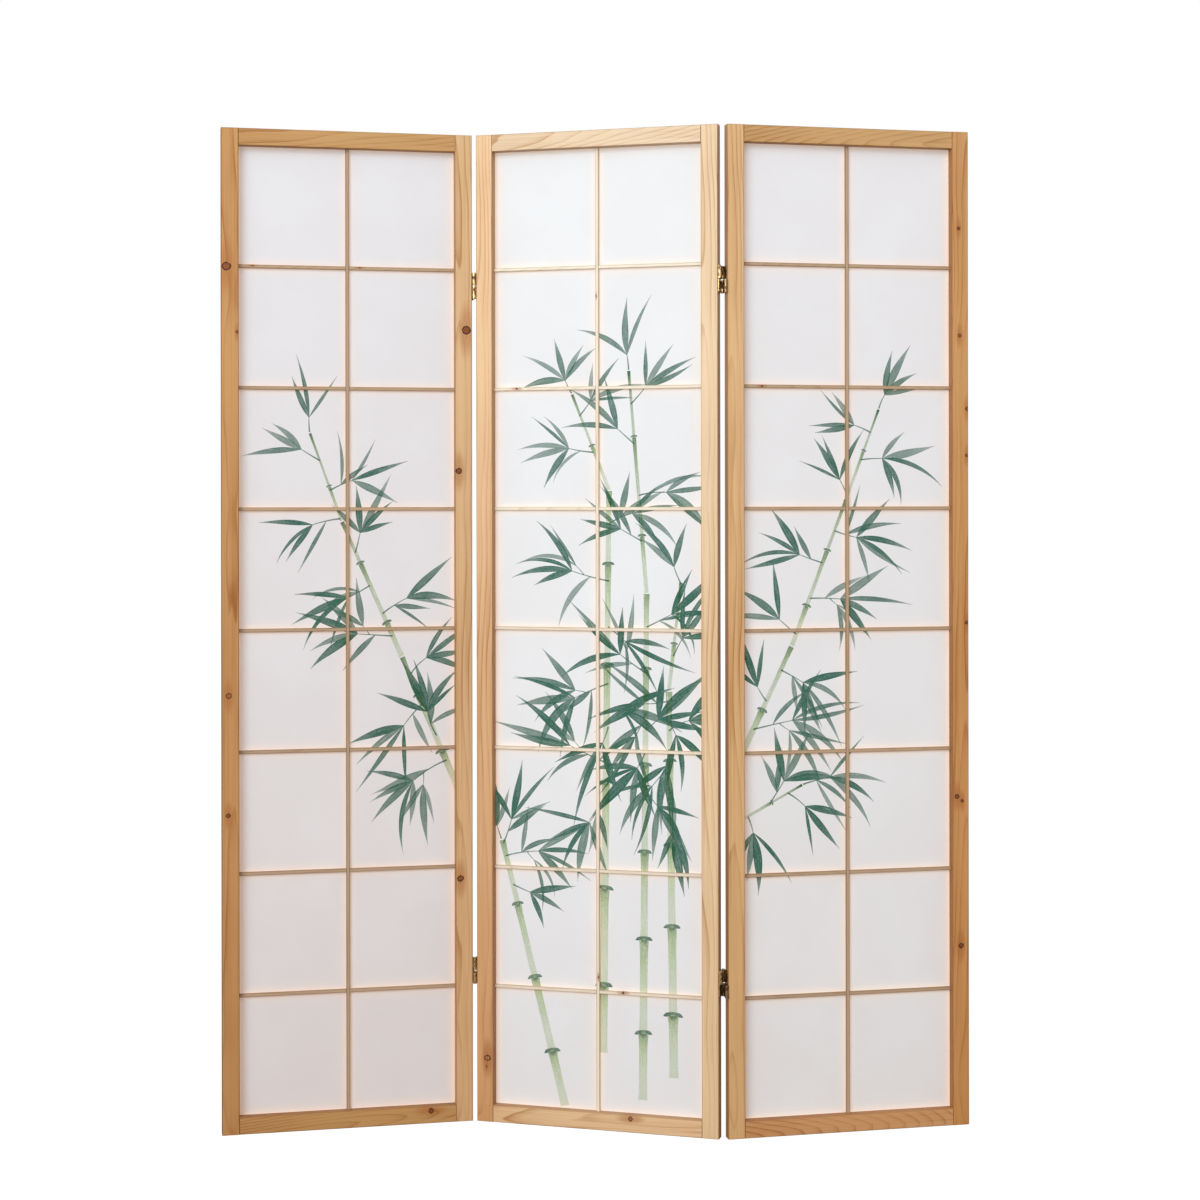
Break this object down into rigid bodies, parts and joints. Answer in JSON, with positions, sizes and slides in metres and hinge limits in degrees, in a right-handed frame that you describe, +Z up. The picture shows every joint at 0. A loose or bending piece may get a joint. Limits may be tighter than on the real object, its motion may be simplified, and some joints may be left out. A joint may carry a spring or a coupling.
{
  "type": "folding screen",
  "caption": "Free-standing folding screen: wood frames with a half-lapped lattice over printed backing paper, on brass hinges that fold to either face.",
  "frame": {"origin": "on the floor under the middle of the middle panel, which is the middle of the standing screen", "axes": "+Z up; the front of the screen, where the lattice lies over the paper, looks towards -Y; +X to the right from the front"},
  "size_m": [1.3082, 0.137, 1.75],
  "materials": {
    "frame_wood": "planed knotty softwood under a clear satin finish",
    "lattice_wood": "planed softwood, paler than the frame",
    "paper": "matt fibrous paper printed in grey-green ink washes",
    "brass": "pressed sheet brass, slightly dulled"
  },
  "bodies": {
    "middle_panel": {"middle_panel_left_stile": "frame_wood", "middle_panel_right_stile": "frame_wood", "middle_panel_bottom_rail": "frame_wood", "middle_panel_top_rail": "frame_wood", "middle_panel_upright_bar": "lattice_wood", "middle_panel_cross_bar_1": "lattice_wood", "middle_panel_cross_bar_2": "lattice_wood", "middle_panel_cross_bar_3": "lattice_wood", "middle_panel_cross_bar_4": "lattice_wood", "middle_panel_cross_bar_5": "lattice_wood", "middle_panel_cross_bar_6": "lattice_wood", "middle_panel_cross_bar_7": "lattice_wood", "middle_panel_paper": "paper", "left_top_hinge_inner_leaf": "brass", "left_bottom_hinge_inner_leaf": "brass", "right_top_hinge_inner_leaf": "brass", "right_bottom_hinge_inner_leaf": "brass"},
    "left_panel": {"left_panel_left_stile": "frame_wood", "left_panel_right_stile": "frame_wood", "left_panel_bottom_rail": "frame_wood", "left_panel_top_rail": "frame_wood", "left_panel_upright_bar": "lattice_wood", "left_panel_cross_bar_1": "lattice_wood", "left_panel_cross_bar_2": "lattice_wood", "left_panel_cross_bar_3": "lattice_wood", "left_panel_cross_bar_4": "lattice_wood", "left_panel_cross_bar_5": "lattice_wood", "left_panel_cross_bar_6": "lattice_wood", "left_panel_cross_bar_7": "lattice_wood", "left_panel_paper": "paper", "left_top_hinge_outer_leaf": "brass", "left_bottom_hinge_outer_leaf": "brass"},
    "right_panel": {"right_panel_left_stile": "frame_wood", "right_panel_right_stile": "frame_wood", "right_panel_bottom_rail": "frame_wood", "right_panel_top_rail": "frame_wood", "right_panel_upright_bar": "lattice_wood", "right_panel_cross_bar_1": "lattice_wood", "right_panel_cross_bar_2": "lattice_wood", "right_panel_cross_bar_3": "lattice_wood", "right_panel_cross_bar_4": "lattice_wood", "right_panel_cross_bar_5": "lattice_wood", "right_panel_cross_bar_6": "lattice_wood", "right_panel_cross_bar_7": "lattice_wood", "right_panel_paper": "paper", "right_top_hinge_outer_leaf": "brass", "right_bottom_hinge_outer_leaf": "brass"},
    "left_upper_links": {"left_top_hinge_upper_link": "brass", "left_bottom_hinge_upper_link": "brass"},
    "left_lower_links": {"left_top_hinge_lower_link": "brass", "left_bottom_hinge_lower_link": "brass"},
    "right_upper_links": {"right_top_hinge_upper_link": "brass", "right_bottom_hinge_upper_link": "brass"},
    "right_lower_links": {"right_top_hinge_lower_link": "brass", "right_bottom_hinge_lower_link": "brass"}
  },
  "joints": [
    {"name": "left_fold_rear_pins", "type": "hinge", "parent": "middle_panel", "child": "left_upper_links", "pos_m": [-0.21402, 0.0653, 0], "axis": [0, 0, 1], "range_deg": [-90, 0]},
    {"name": "left_fold_front_pins", "type": "hinge", "parent": "left_upper_links", "child": "left_panel", "pos_m": [-0.21932, 0.04436, 0], "axis": [0, 0, 1], "range_deg": [-28.4, 151.6]},
    {"name": "left_lower_links_front_pins", "type": "hinge", "parent": "middle_panel", "child": "left_lower_links", "pos_m": [-0.21932, 0.04436, 0], "axis": [0, 0, 1], "range_deg": [-28.4, 151.6]},
    {"name": "right_fold_front_pins", "type": "hinge", "parent": "middle_panel", "child": "right_upper_links", "pos_m": [0.21402, -0.0653, 0], "axis": [0, 0, 1], "range_deg": [-90, 0]},
    {"name": "right_fold_rear_pins", "type": "hinge", "parent": "right_upper_links", "child": "right_panel", "pos_m": [0.21932, -0.04436, 0], "axis": [0, 0, 1], "range_deg": [-28.4, 151.6]},
    {"name": "right_lower_links_rear_pins", "type": "hinge", "parent": "middle_panel", "child": "right_lower_links", "pos_m": [0.21932, -0.04436, 0], "axis": [0, 0, 1], "range_deg": [-28.4, 151.6]}
  ],
  "couplings": [
    {"joint": "left_lower_links_front_pins", "follows": "left_fold_front_pins", "ratio": 1},
    {"joint": "right_lower_links_rear_pins", "follows": "right_fold_rear_pins", "ratio": 1}
  ]
}
